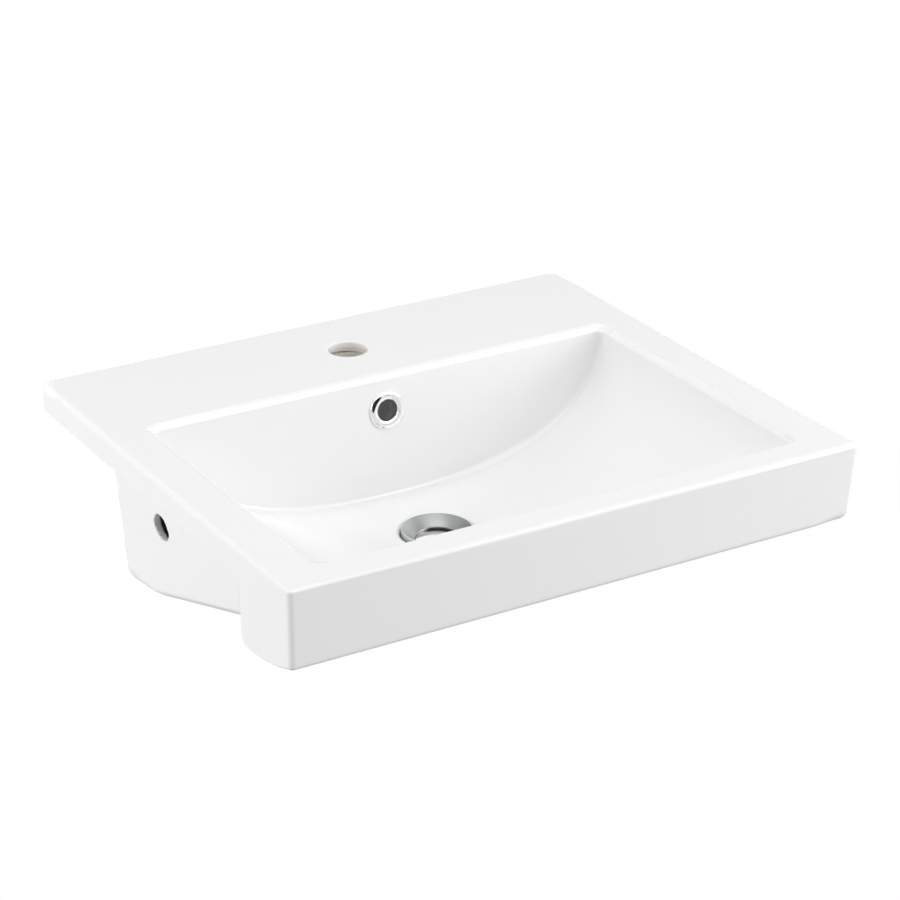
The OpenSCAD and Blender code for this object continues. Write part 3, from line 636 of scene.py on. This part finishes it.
LIP_X, LIP_END_X, LIP_Z = (222, 224), (233, 231), (-7, -5.5, -0.4, 0.0)
LIP_FRONT_D = (WELL_FRONT - 5, WELL_FRONT - 3)
LIP_D = (WELL_BACK + 8, WELL_BACK + 20, WELL_FRONT + 6, WELL_FRONT + 8)

# Colours between which each noise wavers, and how rough the glaze, bare clay and the opening's edge are
GLAZE_WHITES = (rgb(0.895, 0.9, 0.9), rgb(0.91, 0.912, 0.908))
# Painted shade: the grey of the soft line where the body meets the rim
JOINT_SHADE_GREY = rgb(0.77, 0.773, 0.77)
CLAYS = (rgb(0.68, 0.645, 0.58), rgb(0.78, 0.75, 0.69))
# Painted shade: the bare clay made darker, for the hollow behind the vents
SHADED_CLAYS = (rgb(0.24, 0.235, 0.23), rgb(0.36, 0.355, 0.345))
GLAZE_ROUGH, GLAZE_ROUGH_SPREAD, BARE_ROUGH, LIP_ROUGH = 0.09, 0.03, 0.5, 0.22


def glaze(where, put):
    """White glaze, missing on the unseen faces: tap hole, vents, lower edges and underside. Painted shade
    greys the line where the body meets the rim and darkens the clay in the hollow behind the vents.
    """
    x, y, z = where.parts()
    normal_x, _, normal_z = Field.node(where.tree, "ShaderNodeNewGeometry", out="Normal").parts()
    outward = normal_x * x * 1000
    x, d, h = x.abs() * 1000, y * -1000, z * 1000 - DECK
    wander = (noise(where, 24.0) - 0.5) * WANDER
    tap = (h + wander * TAP_WANDER).step(*TAP_BARE_Z) * x.hypot(d - TAP_D).step(*TAP_BARE_R)
    under = normal_z.step(*UNDER_TURN) * (h + wander * UNDER_WANDER).step(*UNDER_BARE_Z)
    low = (h + wander).step(*LOW_BARE_Z) * x.hypot(d - WASTE_D).step(*LOW_BARE_R)
    vent = ((d - VENT_D) * (1 / VENT_WIDE)).hypot(h - VENT_Z).step(*VENT_BARE_R) * x.band(*VENT_BARE_X)
    bare = tap.max(under).max(low).max(vent)
    # Painted shade: the hollow behind the vents takes the darker clay
    cavity = outward.step(*CAVITY_OUTWARD) * x.step(*CAVITY_BARE_X) * h.step(*CAVITY_BARE_Z)
    cavity = cavity * (d - VENT_D).abs().step(*CAVITY_BARE_D) * normal_z.step(*CAVITY_TURN)
    # Painted shade: a soft grey line where the body meets the rim
    joint_shade = (h + JOINT_SHADE_DROP).abs().step(*JOINT_SHADE_HALF) * x.band(*JOINT_SHADE_X) * d.band(*JOINT_SHADE_D)
    lip = x.step(*LIP_X).max(d.step(*LIP_FRONT_D)) * x.step(*LIP_END_X) * h.band(*LIP_Z) * d.band(*LIP_D)
    cloud = noise(where, 9.0, 3.0)
    white = joint_shade.mix(cloud.mix(*GLAZE_WHITES), JOINT_SHADE_GREY)
    grain = noise(where, 60.0, 4.0)
    put("Base Color", cavity.mix(bare.mix(white, grain.mix(*CLAYS)), grain.mix(*SHADED_CLAYS)))
    rough = bare.max(cavity) * BARE_ROUGH + cloud * GLAZE_ROUGH_SPREAD + GLAZE_ROUGH
    put("Roughness", rough + lip * LIP_ROUGH)
    ripple = {"Strength": 0.25, "Distance": 0.00025, "Height": noise(where, 14.0, 1.0)}
    put("Normal", Field.node(where.tree, "ShaderNodeBump", ripple))


# Chrome: the plate's two tones, the dish's and the gap's tones from left to right, which are painted shade
# and reflection, and the dark oval on the trim's upper left, a painted reflection, as its radius, its
# direction, its shares across and along, and its edges
PLATES = (rgb(0.90, 0.905, 0.91), rgb(0.94, 0.943, 0.945))
DISH_PAINTED_TONES = (rgb(0.58, 0.583, 0.586), rgb(0.27, 0.273, 0.276))
DISH_TURN_X, DISH_WANDER = (-26, -4), 12
GAP_PAINTED_TONES = (rgb(0.75, 0.755, 0.76), rgb(0.05, 0.05, 0.05))
GAP_TURN_X, GAP_Z = (-6, 4), (THROAT_Z - 0.5, THROAT_Z - 1.1)
DULL_Z, DULL_R = (-90, -95), (CAP_R - 0.5, CAP_R - 0.1)
OVAL_R, OVAL_WAY, OVAL_ACROSS, OVAL_ALONG = 15.1, (0.57, 0.82), 0.6, 0.13
OVAL_EDGE, OVAL_X, OVAL_D = (1.15, 0.85), (0, -3), (160, 155)
# Painted reflection: the dark tone of the oval on the trim
OVAL_REFLECTION_TONE = rgb(0.03, 0.03, 0.03)
PLATE_ROUGH, PLATE_ROUGH_SPREAD, DULL_ROUGH = 0.07, 0.06, 0.33


def chrome(where, put):
    """Bright plate on the overflow trim and the cap, a duller one in the waste's dish and throat. Painted
    shade and reflections darken the dish, the throat's gap and an oval on the trim.
    """
    x, y, z = where.parts()
    x, d, h = x * 1000, y * -1000, z * 1000 - DECK
    up = h - OVERFLOW_Z
    cloud = noise(where, 40.0, 3.0)
    # Painted reflection and shade: the dish darkens to the right, the throat's gap runs from light to black
    dish = (x + (cloud - 0.5) * DISH_WANDER).step(*DISH_TURN_X).mix(*DISH_PAINTED_TONES)
    dish = h.step(*GAP_Z).mix(dish, x.step(*GAP_TURN_X).mix(*GAP_PAINTED_TONES))
    dull_and_shaded = h.step(*DULL_Z) * x.hypot(d - WASTE_D).step(*DULL_R)
    # Painted reflection: a dark oval on the trim's upper left
    along = (x * OVAL_WAY[0] + up * OVAL_WAY[1]).abs()
    reflection_oval = ((x.hypot(up) - OVAL_R) * OVAL_ACROSS).hypot(along * OVAL_ALONG).step(*OVAL_EDGE)
    reflection_oval = reflection_oval * x.step(*OVAL_X) * d.step(*OVAL_D)
    put("Base Color", reflection_oval.mix(dull_and_shaded.mix(cloud.mix(*PLATES), dish), OVAL_REFLECTION_TONE))
    put("Roughness", cloud * PLATE_ROUGH_SPREAD + PLATE_ROUGH + dull_and_shaded * DULL_ROUGH)


def clouded(where, put, scale, detail, tones, roughness, grain=0.5):
    """A finish whose colour and roughness waver together with one noise."""
    cloud = noise(where, scale, detail, grain)
    put("Base Color", cloud.mix(*tones))
    put("Roughness", cloud * (roughness[1] - roughness[0]) + roughness[0])


def brass(where, put):
    """Bare turned brass."""
    tones = (rgb(0.62, 0.46, 0.20), rgb(0.76, 0.60, 0.30))
    clouded(where, put, scale=90.0, detail=3.0, tones=tones, roughness=(0.22, 0.42), grain=0.6)


def steel(where, put):
    """Drawn stainless wire."""
    tones = (rgb(0.50, 0.50, 0.50), rgb(0.62, 0.62, 0.61))
    clouded(where, put, scale=300.0, detail=3.0, tones=tones, roughness=(0.25, 0.40))


def acetal(where, put):
    """Natural white acetal."""
    tones = (rgb(0.74, 0.74, 0.71), rgb(0.80, 0.80, 0.77))
    clouded(where, put, scale=120.0, detail=2.0, tones=tones, roughness=(0.38, 0.48))


def rubber(where, put):
    """Matt black rubber."""
    tones = (rgb(0.018, 0.018, 0.019), rgb(0.035, 0.035, 0.036))
    clouded(where, put, scale=150.0, detail=4.0, tones=tones, roughness=(0.6, 0.8))


MATERIALS = {
    "glazed_ceramic": material("glazed_ceramic", glaze, Specular_IOR_Level=0.5),
    "chrome": material("chrome", chrome, Metallic=1.0),
    "brass": material("brass", brass, Metallic=1.0),
    "spring_steel": material("spring_steel", steel, Metallic=1.0),
    "clip_plastic": material("clip_plastic", acetal),
    "rubber": material("rubber", rubber),
}

for part in frame["record"]["subparts"]:
    shown = frame["nodes"][part["node"]]
    shown.data.materials.clear()
    shown.data.materials.append(MATERIALS[part["material_slot"]])

skin = ceramic_skin()
skin.data.materials.append(MATERIALS["glazed_ceramic"])
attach(skin, "basin_body")
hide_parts("basin")

for piece, node, slot in (
    (overflow_trim(), "overflow_ring", "chrome"),
    (overflow_gasket(), "overflow_seal", "rubber"),
    (waste_tube(), "waste_body", "chrome"),
    (waste_dish(), None, "chrome"),
):
    piece.data.materials.clear()
    piece.data.materials.append(MATERIALS[slot])
    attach(piece, "basin_body")
    if node:
        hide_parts(node)


# Camera, light and floor: angles in degrees, the camera's lengths in millimetres, other lengths in metres
VIEW_AZIMUTH, VIEW_ELEVATION, VIEW_ROLL = map(math.radians, (-30.481, 24.348, -0.057))
VIEW_DISTANCE, SHIFT_RIGHT, SHIFT_UP = 2651.171, 129.194, -116.887
FOCAL_PIXELS, PICTURE_PIXELS, SENSOR_W = 2911.83, 900, 36
WORLD_STRENGTH = 0.26
FLOOR_Z, FLOOR_HALF, FLOOR_GREY, FLOOR_ROUGH = -0.75, 4.0, 0.66, 0.6
LAMP_TARGET = (0, -0.24, -0.03)
# Name, power in watts, size and place of each lamp
LAMPS = (
    ("top", 24.0, 1.8, (0, -0.3, 2.4)),
    ("left", 24.6, 1.4, (-2.3, 0.1, 0.42)),
    ("left_back", 7.2, 1.4, (-1.9, 1.2, 1.5)),
    ("back", 3.4, 1.0, (-0.8, 2.4, 0.25)),
    ("front_left", 5.5, 1.2, (-0.9, -2.3, 1.9)),
    ("front", 10.4, 0.95, (1.0, -2.1, 1.7)),
    ("right", 6.8, 1.4, (1.8, -1.8, 1.3)),
    ("right_low", 25.6, 1.2, (1.9, -2.0, 0.5)),
)


def add_camera():
    """The camera at the picture's viewing angle."""
    back = Vector((math.sin(VIEW_AZIMUTH) * math.cos(VIEW_ELEVATION),
                   -math.cos(VIEW_AZIMUTH) * math.cos(VIEW_ELEVATION), math.sin(VIEW_ELEVATION)))
    level = Vector((math.cos(VIEW_AZIMUTH), math.sin(VIEW_AZIMUTH), 0))
    upright = back.cross(level)
    right = level * math.cos(VIEW_ROLL) + upright * math.sin(VIEW_ROLL)
    up = upright * math.cos(VIEW_ROLL) - level * math.sin(VIEW_ROLL)
    eye = (back * VIEW_DISTANCE + right * SHIFT_RIGHT + up * SHIFT_UP) / 1000 + Vector((0, 0, DECK / 1000))
    data = bpy.data.cameras.new("camera")
    data.sensor_width = SENSOR_W
    data.lens = FOCAL_PIXELS / PICTURE_PIXELS * SENSOR_W
    camera = added("camera", data)
    camera.matrix_world = Matrix.Translation(eye) @ Matrix((right, up, back)).transposed().to_4x4()
    bpy.context.scene.camera = camera


def add_lamp(name, power, size, position):
    """A square lamp that faces LAMP_TARGET."""
    data = bpy.data.lights.new(name, "AREA")
    data.energy, data.size = power, size
    turn = (Vector(position) - Vector(LAMP_TARGET)).to_track_quat("Z", "Y").to_matrix().to_4x4()
    added(name, data).matrix_world = Matrix.Translation(position) @ turn


def white_to_viewer(tree, shader, white, output):
    """White for the camera, in mirrors and through glass; the shader for all other light."""
    camera, mirror, glass = (Field.node(tree, "ShaderNodeLightPath", out=ray)
                             for ray in ("Is Camera Ray", "Is Glossy Ray", "Is Transmission Ray"))
    inputs = {
        0: camera.max(mirror).max(glass),
        1: Field(tree, shader.outputs[0]),
        2: Field.node(tree, white, {"Color": WHITE, "Strength": 1.0}),
    }
    Field.put(tree, tree.nodes[output].inputs["Surface"], Field.node(tree, "ShaderNodeMixShader", inputs))


def add_world():
    """Even white light, and a plain white background."""
    world = bpy.data.worlds.new("studio")
    bpy.context.scene.world = world
    world.use_nodes = True
    shader = world.node_tree.nodes["Background"]
    shader.inputs["Color"].default_value = WHITE
    shader.inputs["Strength"].default_value = WORLD_STRENGTH
    white_to_viewer(world.node_tree, shader, "ShaderNodeBackground", "World Output")


def add_floor():
    """A wide pale floor below the part."""
    mesh = bpy.data.meshes.new("floor")
    corners = [(u * FLOOR_HALF, v * FLOOR_HALF, FLOOR_Z) for u, v in ((-1, -1), (1, -1), (1, 1), (-1, 1))]
    mesh.from_pydata(corners, [], [(0, 1, 2, 3)])
    floor = added("floor", mesh)
    made = bpy.data.materials.new("floor")
    made.use_nodes = True
    shader = made.node_tree.nodes["Principled BSDF"]
    shader.inputs["Base Color"].default_value = rgb(FLOOR_GREY, FLOOR_GREY, FLOOR_GREY)
    shader.inputs["Roughness"].default_value = FLOOR_ROUGH
    white_to_viewer(made.node_tree, shader, "ShaderNodeEmission", "Material Output")
    mesh.materials.append(made)


add_camera()
add_world()
add_floor()
for values in LAMPS:
    add_lamp(*values)
bpy.context.scene.view_settings.view_transform = "Standard"
